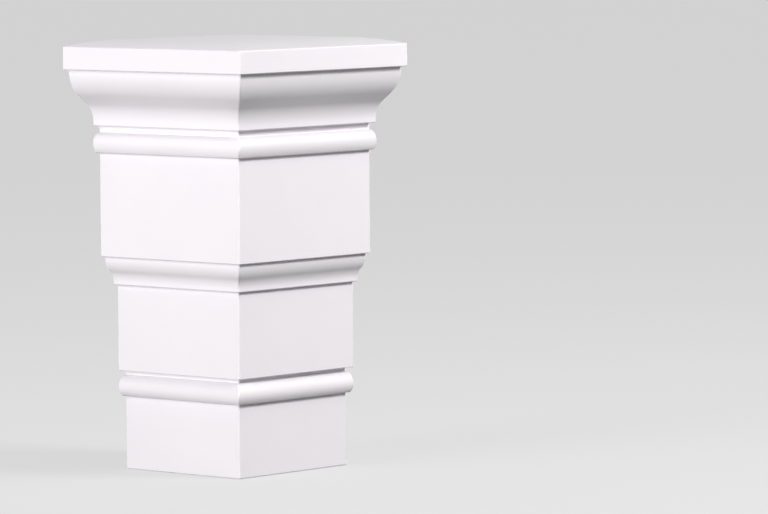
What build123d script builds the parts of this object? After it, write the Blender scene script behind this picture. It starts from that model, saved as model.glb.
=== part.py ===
from build123d import *
from math import atan2, cos, sin
import os

# Cornice end cap, moulded in one piece: it closes the left-hand end of a facade cornice.
# The front (facing -Y) and the return (facing -X) carry the same section and meet in a mitre.
# Its back lies on the wall, the plane Y = 0, and its joint face is the plane X = 0.
# Its flat underside is the plane Z = 0, and the origin is the corner where those three meet.
# All sizes are in millimetres. A projection is measured outwards from the lowest fascia,
# and a height upwards from the underside.

os.makedirs("parts", exist_ok=True)

# Overall sizes, from the nose of the top slab to the joint face and to the wall
front_width = 197.0
return_depth = 193.0

# Lowest fascia
lower_fascia_height = 59.8

# Lower bead: a round with a flat quirk under it, then a short neck
lower_bead_height = 17.2
lower_bead_projection = 8.5
lower_bead_nose_height = 7.6
lower_bead_quirk = 4.2
lower_neck_height = 3.6

# Middle fascia
middle_fascia_step = 8.4
middle_fascia_height = 70.2

# Small ogee that carries the upper fascia: upright lips at its foot and head, and between them
# a hollow, a short slope and a round. The slope share is the slope's turn as a share of the
# greatest that fits, and the round share is the round's part of the two radii together.
ogee_step = 4.8
ogee_height = 23.6
ogee_projection = 9.5
ogee_foot_lip = 2.0
ogee_head_lip = 1.4
ogee_slope_share = 0.96
ogee_round_share = 0.55

# Upper fascia, the tallest
upper_fascia_step = 4.7
upper_fascia_height = 84.0

# Upper bead, made like the lower one
upper_bead_height = 16.6
upper_bead_projection = 7.8
upper_bead_nose_height = 8.1
upper_bead_quirk = 4.6
upper_neck_height = 5.4

# Large ogee under the top slab, made like the small one
crown_step = 7.1
crown_height = 46.2
crown_projection = 27.6
crown_foot_lip = 3.0
crown_head_lip = 0.6
crown_slope_share = 0.82
crown_round_share = 0.58

# Top slab, whose upper side rises gently from its nose to shed rain
slab_step = 6.4
slab_thickness = 18.4
weathering_rise = 4.0
weathering_run = 60.0

# Rounding of every outer arris, along the mouldings and down the mitre
arris_radius = 1.0

# Heights, stacked from the underside
lower_quirk_z = lower_fascia_height
lower_neck_z = lower_quirk_z + lower_bead_height
middle_fascia_z = lower_neck_z + lower_neck_height
ogee_z = middle_fascia_z + middle_fascia_height
upper_fascia_z = ogee_z + ogee_height
upper_quirk_z = upper_fascia_z + upper_fascia_height
upper_neck_z = upper_quirk_z + upper_bead_height
crown_z = upper_neck_z + upper_neck_height
slab_z = crown_z + crown_height
slab_nose_top_z = slab_z + slab_thickness
top_z = slab_nose_top_z + weathering_rise

# Projections, added up from the lowest fascia
middle_fascia_out = middle_fascia_step
ogee_foot_out = middle_fascia_out + ogee_step
ogee_head_out = ogee_foot_out + ogee_projection
upper_fascia_out = ogee_head_out + upper_fascia_step
crown_foot_out = upper_fascia_out + crown_step
crown_head_out = crown_foot_out + crown_projection
slab_out = crown_head_out + slab_step


def place(reach, projection, height):
    """A section point: reach is the distance from the slab's nose to the face at the back."""
    return (-(reach - slab_out + projection), height)


def draw_bead(reach, plane_out, quirk_z, bead_height, projection, nose_height, quirk):
    """Quirk, lower round and upper round of a bead that stands on the fascia below it."""
    root = place(reach, plane_out, quirk_z)
    lip = place(reach, plane_out + quirk, quirk_z)
    nose = place(reach, plane_out + projection, quirk_z + nose_height)
    neck = place(reach, plane_out, quirk_z + bead_height)
    Line(root, lip)
    TangentArc(nose, lip, tangent=(0, -1))
    TangentArc(nose, neck, tangent=(0, 1))


def draw_ogee(reach, foot_out, foot_z, projection, height, foot_lip, head_lip, slope_share, round_share):
    """Hollow below and round above, both upright at their outer ends, with a slope between."""
    rise = height - foot_lip - head_lip
    turn = slope_share * 2 * atan2(projection, rise)
    radii = (rise * sin(turn) - projection * cos(turn)) / (1 - cos(turn))
    hollow = (1 - round_share) * radii
    round_over = round_share * radii
    hollow_end_out = foot_out + hollow * (1 - cos(turn))
    hollow_end_z = foot_z + foot_lip + hollow * sin(turn)
    round_end_out = foot_out + projection - round_over * (1 - cos(turn))
    round_end_z = foot_z + height - head_lip - round_over * sin(turn)

    foot = place(reach, foot_out, foot_z)
    hollow_start = place(reach, foot_out, foot_z + foot_lip)
    hollow_end = place(reach, hollow_end_out, hollow_end_z)
    round_end = place(reach, round_end_out, round_end_z)
    round_start = place(reach, foot_out + projection, foot_z + height - head_lip)
    head = place(reach, foot_out + projection, foot_z + height)

    Line(foot, hollow_start)
    TangentArc(hollow_start, hollow_end, tangent=(0, 1))
    Line(hollow_end, round_end)
    TangentArc(round_start, round_end, tangent=(0, -1))
    Line(round_start, head)


def moulding_section(plane, reach):
    """The closed section of one arm, from its face at the back (first coordinate 0) outwards."""
    with BuildSketch(plane) as section:
        with BuildLine():
            Polyline(
                (0, top_z),
                (0, 0),
                place(reach, 0, 0),
                place(reach, 0, lower_quirk_z),
            )
            draw_bead(
                reach, 0, lower_quirk_z, lower_bead_height,
                lower_bead_projection, lower_bead_nose_height, lower_bead_quirk,
            )
            Polyline(
                place(reach, 0, lower_neck_z),
                place(reach, 0, middle_fascia_z),
                place(reach, middle_fascia_out, middle_fascia_z),
                place(reach, middle_fascia_out, ogee_z),
                place(reach, ogee_foot_out, ogee_z),
            )
            draw_ogee(
                reach, ogee_foot_out, ogee_z, ogee_projection, ogee_height,
                ogee_foot_lip, ogee_head_lip, ogee_slope_share, ogee_round_share,
            )
            Polyline(
                place(reach, ogee_head_out, upper_fascia_z),
                place(reach, upper_fascia_out, upper_fascia_z),
                place(reach, upper_fascia_out, upper_quirk_z),
            )
            draw_bead(
                reach, upper_fascia_out, upper_quirk_z, upper_bead_height,
                upper_bead_projection, upper_bead_nose_height, upper_bead_quirk,
            )
            Polyline(
                place(reach, upper_fascia_out, upper_neck_z),
                place(reach, upper_fascia_out, crown_z),
                place(reach, crown_foot_out, crown_z),
            )
            draw_ogee(
                reach, crown_foot_out, crown_z, crown_projection, crown_height,
                crown_foot_lip, crown_head_lip, crown_slope_share, crown_round_share,
            )
            Polyline(
                place(reach, crown_head_out, slab_z),
                place(reach, slab_out, slab_z),
                place(reach, slab_out, slab_nose_top_z),
            )
            ridge = place(reach, slab_out - weathering_run, top_z)
            TangentArc(ridge, place(reach, slab_out, slab_nose_top_z), tangent=(-1, 0))
            Line(ridge, (0, top_z))
        make_face()
    return section.sketch


# Arrises that run along both arms, from the underside up: projection and height of each
running_arrises = (
    (0, 0),
    (lower_bead_quirk, lower_quirk_z),
    (middle_fascia_out, middle_fascia_z),
    (ogee_foot_out, ogee_z),
    (upper_fascia_out, upper_fascia_z),
    (upper_fascia_out + upper_bead_quirk, upper_quirk_z),
    (crown_foot_out, crown_z),
    (slab_out, slab_z),
    (slab_out, slab_nose_top_z),
)

# The mitre stands upright on the diagonal through the corner of the slab's nose.
# The two short necks stay crisp there.
slab_corner = (-front_width, -return_depth, 0)
mitre_plane = Plane(origin=slab_corner, x_dir=(1, 1, 0), z_dir=(1, -1, 0))
necks = ((lower_neck_z, middle_fascia_z), (upper_neck_z, crown_z))


def is_mitre_arris(edge):
    """True for an edge that runs in the mitre plane, away from the joint face and the necks."""
    offsets = [abs(mitre_plane.to_local_coords(edge.position_at(part)).Z) for part in (0, 0.5, 1)]
    middle = edge.center()
    on_neck = any(low < middle.Z < high for low, high in necks)
    return max(offsets) < 0.001 and middle.X < -slab_out / 2 and not on_neck


with BuildPart() as end_cap:
    extrude(moulding_section(Plane.YZ, return_depth), amount=-front_width)
    extrude(moulding_section(Plane.XZ, front_width), amount=return_depth, mode=Mode.INTERSECT)

    arrises = end_cap.edges().filter_by(is_mitre_arris)
    for projection, height in running_arrises:
        corner_x = slab_out - front_width - projection
        corner_y = slab_out - return_depth - projection
        arrises += end_cap.edges().sort_by_distance((corner_x / 2, corner_y, height))[:1]
        arrises += end_cap.edges().sort_by_distance((corner_x, corner_y / 2, height))[:1]
    fillet(arrises, radius=arris_radius)

end_cap.part.label = "end_cap"
export_step(end_cap.part, "parts/end_cap.step")
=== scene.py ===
import math

import bpy
from mathutils import Matrix, Vector


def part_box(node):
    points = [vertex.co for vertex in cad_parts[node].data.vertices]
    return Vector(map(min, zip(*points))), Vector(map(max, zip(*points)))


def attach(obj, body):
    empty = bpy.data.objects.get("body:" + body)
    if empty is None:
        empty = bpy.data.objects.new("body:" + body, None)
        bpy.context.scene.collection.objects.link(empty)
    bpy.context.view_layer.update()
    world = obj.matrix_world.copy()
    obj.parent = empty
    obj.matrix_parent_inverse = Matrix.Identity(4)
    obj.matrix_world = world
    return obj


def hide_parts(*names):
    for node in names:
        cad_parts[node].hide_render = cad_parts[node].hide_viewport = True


# Cornice end cap: one moulded, white primed piece, on a plain pale floor in soft studio light.
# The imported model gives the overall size. The section is drawn here in millimetres.

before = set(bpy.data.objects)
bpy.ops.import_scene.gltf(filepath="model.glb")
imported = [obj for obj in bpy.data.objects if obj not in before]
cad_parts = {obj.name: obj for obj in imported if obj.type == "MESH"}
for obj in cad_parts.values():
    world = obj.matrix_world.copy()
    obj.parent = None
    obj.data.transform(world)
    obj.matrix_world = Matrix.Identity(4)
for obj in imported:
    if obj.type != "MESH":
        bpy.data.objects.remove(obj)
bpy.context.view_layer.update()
capLow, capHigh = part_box("end_cap")


# A socket that can be added, subtracted, multiplied and divided, each as a Math node
class Value:
    def __init__(self, graph, socket):
        self.graph = graph
        self.socket = socket

    def math(self, operation, *others):
        return self.graph.node(
            "ShaderNodeMath", dict(operation=operation), dict(enumerate((self, *others)))
        )[0]

    def __add__(self, other):
        return self.math("ADD", other)

    def __sub__(self, other):
        return self.math("SUBTRACT", other)

    def __mul__(self, other):
        return self.math("MULTIPLY", other)

    def __truediv__(self, other):
        return self.math("DIVIDE", other)

    def __rsub__(self, other):
        return self * -1.0 + other

    __radd__ = __add__
    __rmul__ = __mul__

    def clamped(self):
        return self.math("MINIMUM", 1.0).math("MAXIMUM", 0.0)


class Graph:
    def __init__(self, tree):
        self.tree = tree

    # Makes any node from its type, its settings and the values or links of its sockets
    def node(self, kind, settings=None, sockets=None):
        made = self.tree.nodes.new(kind)
        for name, setting in (settings or {}).items():
            setattr(made, name, setting)
        for key, source in (sockets or {}).items():
            if isinstance(source, Value):
                self.tree.links.new(source.socket, made.inputs[key])
            else:
                made.inputs[key].default_value = source
        return [Value(self, output) for output in made.outputs]

    # 1 for what is looked at straight, in a mirror or through glass, and 0 for light that bounces
    def seen(self):
        lightPath = self.node("ShaderNodeLightPath")
        camera, glossy, transmission = lightPath[0], lightPath[3], lightPath[6]
        return camera.math("MAXIMUM", glossy).math("MAXIMUM", transmission)


# The section, from the underside up. Projections are counted outwards from the lowest fascia.
section = dict(
    lowerFasciaHeight=59.8,
    lowerBead=dict(height=17.2, projection=8.5, noseHeight=7.6, quirk=4.2),
    lowerNeckHeight=3.6,
    middleFasciaStep=8.4,
    middleFasciaHeight=70.2,
    ogeeStep=4.8,
    ogee=dict(height=23.6, projection=9.5, footLip=2.0, headLip=1.4, slopeShare=0.96, roundShare=0.55),
    upperFasciaStep=4.7,
    upperFasciaHeight=84.0,
    upperBead=dict(height=16.6, projection=7.8, noseHeight=8.1, quirk=4.6),
    upperNeckHeight=5.4,
    crownStep=7.1,
    crown=dict(height=46.2, projection=27.6, footLip=3.0, headLip=0.6, slopeShare=0.82, roundShare=0.58),
    slabStep=6.4,
    slabThickness=18.4,
    weatheringRise=4.0,
    weatheringRun=60.0,
    arrisRadius=0.9,  # outer arrises along the mouldings
    noseRadius=1.1,  # the slab's upper arris, which is handled most
    lipRadius=3.0,  # the beads roll under into their quirks
    creaseRadius=0.15,  # primer softens the inner corners
    behindWall=-400.0,  # points this far in are drawn onto the wall and joint planes
    arcCell=0.6,  # length of one step along a bead or an ogee
    slabCell=6.0,  # the same along the slab's gentle upper side
    cornerCells=6,
)
mmPerMetre = 1000


# Follows the outline of a section, noting the radius that each corner gets
class SectionPen:
    def __init__(self, projection, height):
        self.corners = [(Vector((projection, height)), 0.0)]

    def lineTo(self, projection, height, radius=0.0):
        self.corners.append((Vector((projection, height)), radius))

    # An arc that leaves the last point along a heading, in radians outwards from straight up
    def arcTo(self, projection, height, heading, radius=0.0, cell=section["arcCell"]):
        here = self.corners[-1][0]
        chord = Vector((projection, height)) - here
        ahead = Vector((math.sin(heading), math.cos(heading)))
        side = Vector((ahead.y, -ahead.x))
        centre = here + side * chord.length_squared / (2 * chord.dot(side))
        sweep = 2 * math.atan2(chord.dot(side), chord.dot(ahead))
        cells = max(3, math.ceil(abs(sweep) * (here - centre).length / cell))
        for step in range(1, cells + 1):
            point = centre + Matrix.Rotation(-sweep * step / cells, 2) @ (here - centre)
            self.lineTo(*point, radius if step == cells else 0.0)

    # The outline's points, with every corner that has a radius turned into a small arc
    def outline(self, cornerCells):
        drawn = []
        lastCorner, lastReach = self.corners[0][0], 0.0
        for index, (corner, radius) in enumerate(self.corners):
            if not radius:
                if (corner - lastCorner).length >= lastReach:
                    drawn.append(corner)
                continue
            before = (corner - self.corners[index - 1][0]).normalized()
            after = (self.corners[index + 1][0] - corner).normalized()
            turn = before.angle(after)
            side = (after - before * before.dot(after)).normalized()
            lastCorner, lastReach = corner, radius * math.tan(turn / 2)
            while (drawn[-1] - corner).length < lastReach:
                drawn.pop()
            start = corner - before * lastReach
            for step in range(cornerCells + 1):
                angle = turn * step / cornerCells
                along, across = radius * math.sin(angle), radius * (1 - math.cos(angle))
                drawn.append(start + before * along + side * across)
        return drawn


# A flat quirk below, then a round that meets the neck above at an angle
def drawBead(pen, bead, out, height, lip, crease):
    pen.lineTo(out, height, crease)
    pen.lineTo(out + bead["quirk"], height, lip)
    heading = 2 * math.atan2(bead["projection"] - bead["quirk"], bead["noseHeight"])
    pen.arcTo(out + bead["projection"], height + bead["noseHeight"], heading)
    pen.arcTo(out, height + bead["height"], 0.0, crease)


# Hollow below and round above, both upright at their outer ends, with a slope between
def drawOgee(pen, ogee, foot, height, arris, crease):
    projection, footLip, headLip = ogee["projection"], ogee["footLip"], ogee["headLip"]
    rise = ogee["height"] - footLip - headLip
    turn = ogee["slopeShare"] * 2 * math.atan2(projection, rise)
    radii = (rise * math.sin(turn) - projection * math.cos(turn)) / (1 - math.cos(turn))
    hollow, roundOver = radii * (1 - ogee["roundShare"]), radii * ogee["roundShare"]
    across, upwards = 1 - math.cos(turn), math.sin(turn)
    headOut, headHeight = foot + projection, height + ogee["height"]
    pen.lineTo(foot, height, arris)
    pen.lineTo(foot, height + footLip)
    pen.arcTo(foot + hollow * across, height + footLip + hollow * upwards, 0.0)
    pen.lineTo(headOut - roundOver * across, headHeight - headLip - roundOver * upwards)
    pen.arcTo(headOut, headHeight - headLip, turn)
    pen.lineTo(headOut, headHeight, crease)


def drawSection(sizes):
    arris, crease = sizes["arrisRadius"], sizes["creaseRadius"]
    out, height = 0.0, 0.0
    pen = SectionPen(sizes["behindWall"], height)
    pen.lineTo(out, height, arris)
    height += sizes["lowerFasciaHeight"]
    drawBead(pen, sizes["lowerBead"], out, height, sizes["lipRadius"], crease)
    height += sizes["lowerBead"]["height"] + sizes["lowerNeckHeight"]
    pen.lineTo(out, height, crease)
    out += sizes["middleFasciaStep"]
    pen.lineTo(out, height, arris)
    height += sizes["middleFasciaHeight"]
    pen.lineTo(out, height, crease)
    out += sizes["ogeeStep"]
    drawOgee(pen, sizes["ogee"], out, height, arris, crease)
    height += sizes["ogee"]["height"]
    out += sizes["ogee"]["projection"] + sizes["upperFasciaStep"]
    pen.lineTo(out, height, arris)
    height += sizes["upperFasciaHeight"]
    drawBead(pen, sizes["upperBead"], out, height, sizes["lipRadius"], crease)
    height += sizes["upperBead"]["height"] + sizes["upperNeckHeight"]
    pen.lineTo(out, height, crease)
    out += sizes["crownStep"]
    drawOgee(pen, sizes["crown"], out, height, arris, crease)
    height += sizes["crown"]["height"]
    out += sizes["crown"]["projection"] + sizes["slabStep"]
    pen.lineTo(out, height, arris)
    height += sizes["slabThickness"]
    pen.lineTo(out, height, sizes["noseRadius"])
    fall = math.atan2(sizes["weatheringRise"], sizes["weatheringRun"])
    height += sizes["weatheringRise"]
    pen.arcTo(out - sizes["weatheringRun"], height, 2 * fall - math.pi / 2, cell=sizes["slabCell"])
    pen.lineTo(sizes["behindWall"], height)
    points = pen.outline(sizes["cornerCells"])
    return [point / mmPerMetre for point in points], out / mmPerMetre


outline, slabOut = drawSection(section)
print("section drawn,", len(outline), "points")

# The cap: the section carried along the front and the return, and round the mitre between them
cap = dict(
    frontReach=-capLow.y - slabOut,  # from the wall to the lowest fascia of the front
    returnReach=-capLow.x - slabOut,  # from the joint to the lowest fascia of the return
    mitreRadius=0.0013,
    mitreCells=8,
    runCells=1,
    rimRadius=0.0004,  # softened edges of the cut ends and the back
    rimCells=3,
    rimAngle=60.0,  # only edges sharper than this are softened
    weldDistance=0.00001,
)


def growMitredBlock():
    tree = bpy.data.node_groups.new("mitredBlock", "GeometryNodeTree")
    tree.is_modifier = True
    for name, kind in (
        ("Section", "NodeSocketGeometry"),
        ("Front Reach", "NodeSocketFloat"),
        ("Return Reach", "NodeSocketFloat"),
        ("Mitre Radius", "NodeSocketFloat"),
        ("Mitre Cells", "NodeSocketInt"),
        ("Run Cells", "NodeSocketInt"),
        ("Weld Distance", "NodeSocketFloat"),
        ("Finish", "NodeSocketMaterial"),
    ):
        tree.interface.new_socket(name=name, in_out="INPUT", socket_type=kind)
    tree.interface.new_socket(name="Block", in_out="OUTPUT", socket_type="NodeSocketGeometry")

    graph = Graph(tree)
    sectionIn, frontReach, returnReach, mitreRadius, mitreCells, runCells, weld, finish = graph.node(
        "NodeGroupInput"
    )[:8]
    position = graph.node("GeometryNodeInputPosition")[0]

    # A grid with a row for each point of the section and a column for each station of the plan
    rows = graph.node("GeometryNodeAttributeDomainSize", dict(component="MESH"), {0: sectionIn})[0]
    stations = runCells * 2.0 + mitreCells + 1.0
    grid = graph.node("GeometryNodeMeshGrid", None, {"Vertices X": rows, "Vertices Y": stations})[0]
    index = graph.node("GeometryNodeInputIndex")[0]
    row = (index / stations).math("FLOOR")
    station = index - row * stations
    sampled = graph.node(
        "GeometryNodeSampleIndex",
        dict(data_type="FLOAT_VECTOR", domain="POINT"),
        {"Geometry": sectionIn, "Value": position, "Index": row},
    )[0]
    projection, _, height = graph.node("ShaderNodeSeparateXYZ", None, {0: sampled})

    # Along the front, round the mitre, then along the return: each share runs from 0 to 1
    frontShare = (station / runCells).clamped()
    mitreShare = ((station - runCells) / mitreCells).clamped()
    returnShare = ((station - runCells - mitreCells) / runCells).clamped()
    turned = mitreShare * (math.pi / 2)
    frontDepth = (frontReach + projection).math("MAXIMUM", 0.0)
    returnDepth = (returnReach + projection).math("MAXIMUM", 0.0)
    radius = mitreRadius.math("MINIMUM", frontDepth).math("MINIMUM", returnDepth)
    x = (returnDepth - radius) * frontShare + radius * turned.math("SINE")
    y = (frontDepth - radius) * (1.0 - returnShare) + radius * turned.math("COSINE")
    place = graph.node("ShaderNodeCombineXYZ", None, {0: x * -1.0, 1: y * -1.0, 2: height})[0]
    mouldings = graph.node("GeometryNodeSetPosition", None, {"Geometry": grid, "Position": place})[0]

    # The same section closes both cut ends, on the joint plane and on the wall plane
    ownProjection, _, ownHeight = graph.node("ShaderNodeSeparateXYZ", None, {0: position})
    jointY = (frontReach + ownProjection).math("MAXIMUM", 0.0) * -1.0
    wallX = (returnReach + ownProjection).math("MAXIMUM", 0.0) * -1.0
    onJoint = graph.node("ShaderNodeCombineXYZ", None, {0: 0.0, 1: jointY, 2: ownHeight})[0]
    onWall = graph.node("ShaderNodeCombineXYZ", None, {0: wallX, 1: 0.0, 2: ownHeight})[0]
    joint = graph.node("GeometryNodeSetPosition", None, {"Geometry": sectionIn, "Position": onJoint})[0]
    joint = graph.node("GeometryNodeFlipFaces", None, {0: joint})[0]
    wall = graph.node("GeometryNodeSetPosition", None, {"Geometry": sectionIn, "Position": onWall})[0]

    join = tree.nodes.new("GeometryNodeJoinGeometry")
    for part in (wall, joint, mouldings):
        tree.links.new(part.socket, join.inputs[0])
    welded = graph.node(
        "GeometryNodeMergeByDistance", None, {"Geometry": Value(graph, join.outputs[0]), "Distance": weld}
    )[0]
    smooth = graph.node("GeometryNodeSetShadeSmooth", None, {"Geometry": welded})[0]
    solid = graph.node("GeometryNodeRealizeInstances", None, {0: smooth})[0]
    finished = graph.node("GeometryNodeSetMaterial", None, {"Geometry": solid, "Material": finish})[0]
    graph.node("NodeGroupOutput", None, {0: finished})
    return tree


def socketKey(tree, name):
    return next(item.identifier for item in tree.interface.items_tree if item.name == name)


# The primer: satin, very slightly cool white, sprayed over foam
primer = dict(
    colour=(0.885, 0.855, 0.885),
    shade=(0.865, 0.835, 0.870),  # the faint mottling
    mottle=dict(Scale=22.0, Detail=4.0),
    mottleContrast=2.0,
    mottleShift=0.5,
    roughness=0.46,
    roughnessSpread=0.08,
    grain=dict(Scale=900.0, Detail=2.0),
    grainHeight=0.00002,
    wave=dict(Scale=14.0, Detail=1.0),
    waveHeight=0.0002,
    refraction=1.45,
)


def mixPrimer():
    material = bpy.data.materials.new("primedFoam")
    material.use_nodes = True
    material.node_tree.nodes.clear()
    graph = Graph(material.node_tree)
    spot = graph.node("ShaderNodeTexCoord")[3]
    mottle, grain, wave = (
        graph.node("ShaderNodeTexNoise", None, {"Vector": spot, **primer[name]})[0]
        for name in ("mottle", "grain", "wave")
    )
    shadeShare = (mottle * primer["mottleContrast"] - primer["mottleShift"]).clamped()
    blend = graph.node(
        "ShaderNodeMix",
        dict(data_type="RGBA"),
        {0: shadeShare, 6: (*primer["colour"], 1.0), 7: (*primer["shade"], 1.0)},
    )[2]
    roughness = primer["roughness"] + (mottle + grain - 1.0) * primer["roughnessSpread"]
    relief = grain * primer["grainHeight"] + wave * primer["waveHeight"]
    bump = graph.node("ShaderNodeBump", None, {"Strength": 1.0, "Distance": 1.0, "Height": relief})[0]
    surface = graph.node(
        "ShaderNodeBsdfPrincipled",
        None,
        {"Base Color": blend, "Roughness": roughness, "Normal": bump, "IOR": primer["refraction"]},
    )[0]
    graph.node("ShaderNodeOutputMaterial", None, {"Surface": surface})
    return material


primedFoam = mixPrimer()
print("primer mixed")


def buildCap():
    mesh = bpy.data.meshes.new("capSection")
    mesh.from_pydata([(p.x, 0.0, p.y) for p in outline], [], [range(len(outline))])
    maker = bpy.data.objects.new("capMaker", mesh)
    bpy.context.scene.collection.objects.link(maker)
    tree = growMitredBlock()
    grow = maker.modifiers.new("mitredBlock", "NODES")
    grow.node_group = tree
    for name, value in (
        ("Front Reach", cap["frontReach"]),
        ("Return Reach", cap["returnReach"]),
        ("Mitre Radius", cap["mitreRadius"]),
        ("Mitre Cells", cap["mitreCells"]),
        ("Run Cells", cap["runCells"]),
        ("Weld Distance", cap["weldDistance"]),
        ("Finish", primedFoam),
    ):
        grow[socketKey(tree, name)] = value
    rims = maker.modifiers.new("rims", "BEVEL")
    rims.width = cap["rimRadius"]
    rims.segments = cap["rimCells"]
    rims.limit_method = "ANGLE"
    rims.angle_limit = math.radians(cap["rimAngle"])
    maker.modifiers.new("evenShading", "WEIGHTED_NORMAL")
    bpy.context.view_layer.update()
    finished = bpy.data.meshes.new_from_object(maker.evaluated_get(bpy.context.evaluated_depsgraph_get()))
    bpy.data.objects.remove(maker)
    bpy.data.meshes.remove(mesh)
    finished.name = "endCapMouldings"
    shown = bpy.data.objects.new("endCapMouldings", finished)
    bpy.context.scene.collection.objects.link(shown)
    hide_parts("end_cap")
    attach(shown, "root")
    return shown


endCap = buildCap()
print("cap built,", len(endCap.data.polygons), "faces")

# Floor: plain and pale. What is seen of it is mostly its glow, over a little lit grey that keeps
# the cap's shadow. What it throws back at the cap comes from a dim grey alone.
floorLook = dict(size=120.0, level=-0.0002, lit=0.14, glow=0.64, bounced=0.16)


def layFloor():
    half = floorLook["size"] / 2
    level = floorLook["level"]
    mesh = bpy.data.meshes.new("floor")
    corners = [(-half, -half, level), (half, -half, level), (half, half, level), (-half, half, level)]
    mesh.from_pydata(corners, [], [(0, 1, 2, 3)])
    material = bpy.data.materials.new("paleFloor")
    material.use_nodes = True
    material.node_tree.nodes.clear()
    graph = Graph(material.node_tree)
    lit, bounced = (
        graph.node("ShaderNodeBsdfDiffuse", None, {"Color": (grey, grey, grey, 1.0)})[0]
        for grey in (floorLook["lit"], floorLook["bounced"])
    )
    glow = graph.node("ShaderNodeEmission", None, {"Strength": floorLook["glow"]})[0]
    pale = graph.node("ShaderNodeAddShader", None, {0: lit, 1: glow})[0]
    surface = graph.node("ShaderNodeMixShader", None, {0: graph.seen(), 1: bounced, 2: pale})[0]
    graph.node("ShaderNodeOutputMaterial", None, {"Surface": surface})
    mesh.materials.append(material)
    floor = bpy.data.objects.new("floor", mesh)
    bpy.context.scene.collection.objects.link(floor)


layFloor()

# Soft boxes round the cap, all aimed at its middle. Bearings run from straight in front of the
# cap's front, positive towards its joint face, and heights are angles above its middle.
lamps = dict(
    frontLow=dict(bearing=20.0, height=22.0, distance=2.6, size=(0.9, 0.36), power=14.5),
    frontMain=dict(bearing=22.0, height=31.0, distance=2.6, size=(0.9, 0.42), power=45.5),
    frontHigh=dict(bearing=20.0, height=48.0, distance=2.6, size=(0.9, 0.45), power=7.0),
    overhead=dict(bearing=20.0, height=66.0, distance=2.4, size=(1.2, 0.8), power=6.5),
    returnLow=dict(bearing=-90.0, height=4.0, distance=2.6, size=(1.0, 0.36), power=36.4),
    returnMiddle=dict(bearing=-95.0, height=14.0, distance=2.6, size=(1.0, 0.4), power=17.0),
    returnHigh=dict(bearing=-100.0, height=25.0, distance=2.6, size=(1.0, 0.5), power=12.2),
    behind=dict(bearing=180.0, height=60.0, distance=2.4, size=(1.2, 1.0), power=3.0),
)
sky = dict(fill=((0.98, 0.97, 1.0), 0.03), pale=((1.0, 1.0, 1.0), 0.64))


def hangLamps():
    capMiddle = (capLow + capHigh) / 2
    for name, look in lamps.items():
        bearing, height = math.radians(look["bearing"]), math.radians(look["height"])
        outwards = Vector((math.sin(bearing), -math.cos(bearing), math.tan(height))).normalized()
        light = bpy.data.lights.new(name, "AREA")
        light.shape = "RECTANGLE"
        light.size, light.size_y = look["size"]
        light.energy = look["power"]
        lamp = bpy.data.objects.new(name, light)
        lamp.location = capMiddle + outwards * look["distance"]
        lamp.rotation_euler = outwards.to_track_quat("Z", "Y").to_euler()
        bpy.context.scene.collection.objects.link(lamp)
    world = bpy.data.worlds.new("studio")
    world.use_nodes = True
    world.node_tree.nodes.clear()
    graph = Graph(world.node_tree)
    fill, pale = (
        graph.node("ShaderNodeBackground", None, {"Color": (*shade, 1.0), "Strength": strength})[0]
        for shade, strength in (sky["fill"], sky["pale"])
    )
    backing = graph.node("ShaderNodeMixShader", None, {0: graph.seen(), 1: fill, 2: pale})[0]
    graph.node("ShaderNodeOutputWorld", None, {"Surface": backing})
    bpy.context.scene.world = world


hangLamps()
print("lamps hung")

# Camera: the photograph's angle and framing, from a long lens
camera = dict(
    place=(-3.25146, -3.01148, 0.49344),
    yaw=-48.817,
    pitch=85.743,
    roll=-0.427,
    lens=251.35,
    sensor=36.0,
    farthest=200.0,
)


def setCamera():
    data = bpy.data.cameras.new("photoAngle")
    data.lens = camera["lens"]
    data.sensor_width = camera["sensor"]
    data.clip_end = camera["farthest"]
    shown = bpy.data.objects.new("photoAngle", data)
    turn = Matrix.Rotation(math.radians(camera["yaw"]), 4, "Z")
    tilt = Matrix.Rotation(math.radians(camera["pitch"]), 4, "X")
    roll = Matrix.Rotation(math.radians(camera["roll"]), 4, "Z")
    shown.matrix_world = Matrix.Translation(camera["place"]) @ turn @ tilt @ roll
    bpy.context.scene.collection.objects.link(shown)
    bpy.context.scene.camera = shown


setCamera()
bpy.context.scene.view_settings.view_transform = "Standard"
print("camera set")
